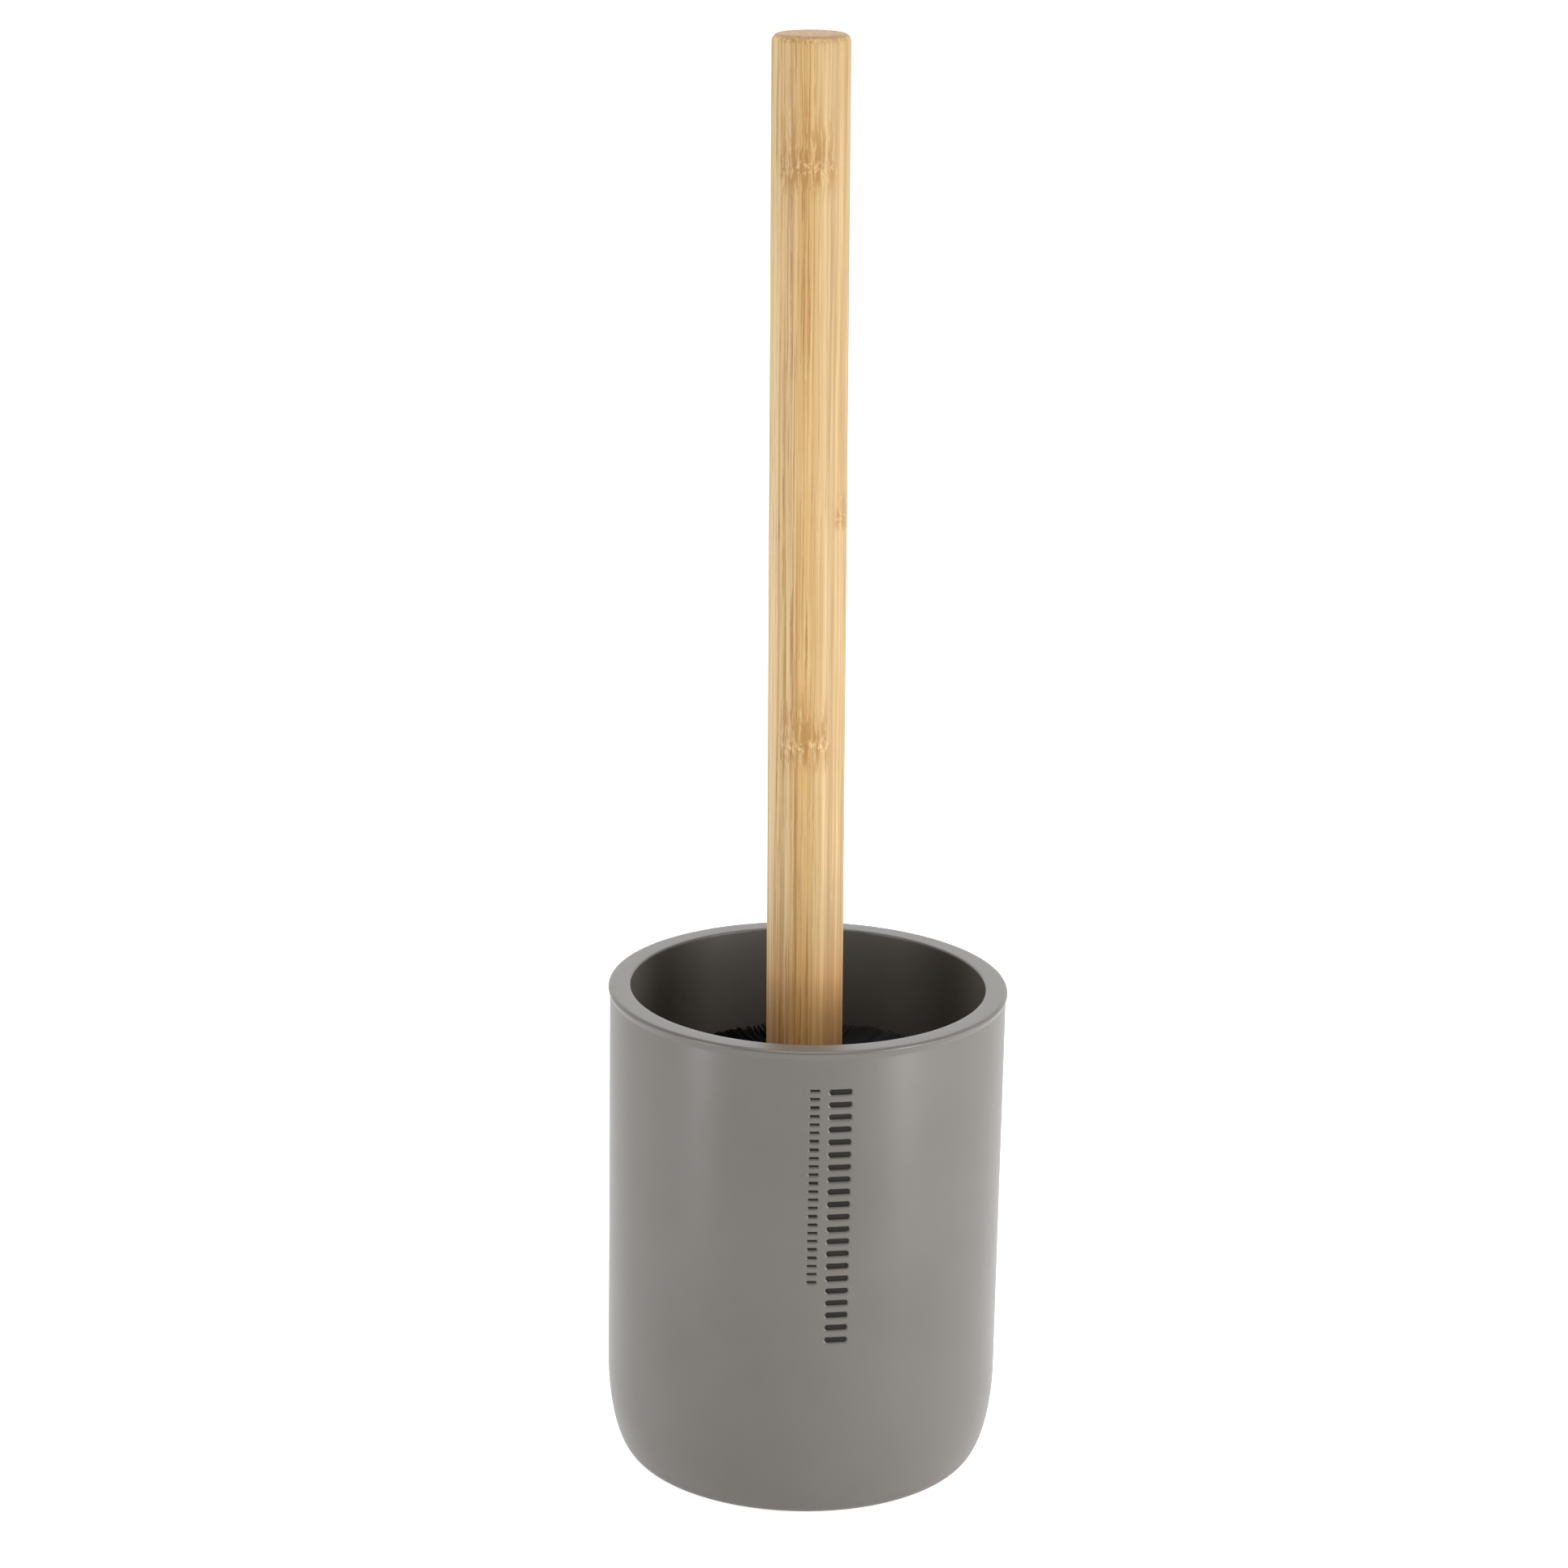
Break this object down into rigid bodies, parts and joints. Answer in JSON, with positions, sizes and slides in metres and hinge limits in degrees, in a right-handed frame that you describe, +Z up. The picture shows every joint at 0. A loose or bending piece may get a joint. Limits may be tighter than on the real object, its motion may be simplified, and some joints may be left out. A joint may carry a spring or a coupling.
{
  "type": "toilet brush holder",
  "caption": "Free-standing round toilet brush holder: thick-walled satin grey cup with a rounded base, holding a black brush with a straight round bamboo handle.",
  "frame": {"origin": "on the floor under the middle of the cup, at the underside of the base pad", "axes": "+Z up, -Y towards the front of the cup, where the sunk marks are, +X to the right seen from the front"},
  "size_m": [0.1, 0.1, 0.3617],
  "materials": {
    "cup_resin": "satin",
    "pad_foam": "matte",
    "bamboo": "satin",
    "zinc_steel": "satin",
    "washer_rubber": "matte",
    "core_plastic": "satin",
    "bristle": "satin",
    "anchor_wire": "satin"
  },
  "bodies": {
    "cup": {"holder_cup": "cup_resin", "base_pad": "pad_foam"},
    "stud": {"threaded_stud": "zinc_steel"},
    "brush_head": {"brush_core": "core_plastic", "bristle_row_01": "bristle", "bristle_row_02": "bristle", "bristle_row_03": "bristle", "bristle_row_04": "bristle", "bristle_row_05": "bristle", "bristle_row_06": "bristle", "bristle_row_07": "bristle", "bristle_row_08": "bristle", "bristle_row_09": "bristle", "bristle_crown_outer": "bristle", "bristle_crown_inner": "bristle", "bristle_crown_tip": "bristle", "tuft_anchors": "anchor_wire"},
    "washer": {"seal_washer": "washer_rubber"},
    "handle": {"bamboo_handle": "bamboo", "threaded_insert": "zinc_steel"}
  },
  "joints": [
    {"name": "brush_lift", "type": "slide", "parent": "cup", "child": "stud", "axis": [0, 0, 1], "range_m": [0, 0.14]},
    {"name": "brush_turn", "type": "hinge", "parent": "stud", "child": "brush_head", "pos_m": [0.00047, -0.0035, 0.00845], "axis": [-0.0114, 0.03, 0.9995], "continuous": true},
    {"name": "handle_thread_travel", "type": "slide", "parent": "brush_head", "child": "washer", "axis": [-0.0114, 0.03, 0.9995], "range_m": [0, 0.01625]},
    {"name": "handle_unscrew", "type": "hinge", "parent": "washer", "child": "handle", "pos_m": [0.00047, -0.0035, 0.00845], "axis": [-0.0114, 0.03, 0.9995], "range_deg": [0, 4680]}
  ],
  "couplings": [
    {"joint": "handle_unscrew", "follows": "handle_thread_travel", "rad_per_m": 5026.5}
  ]
}
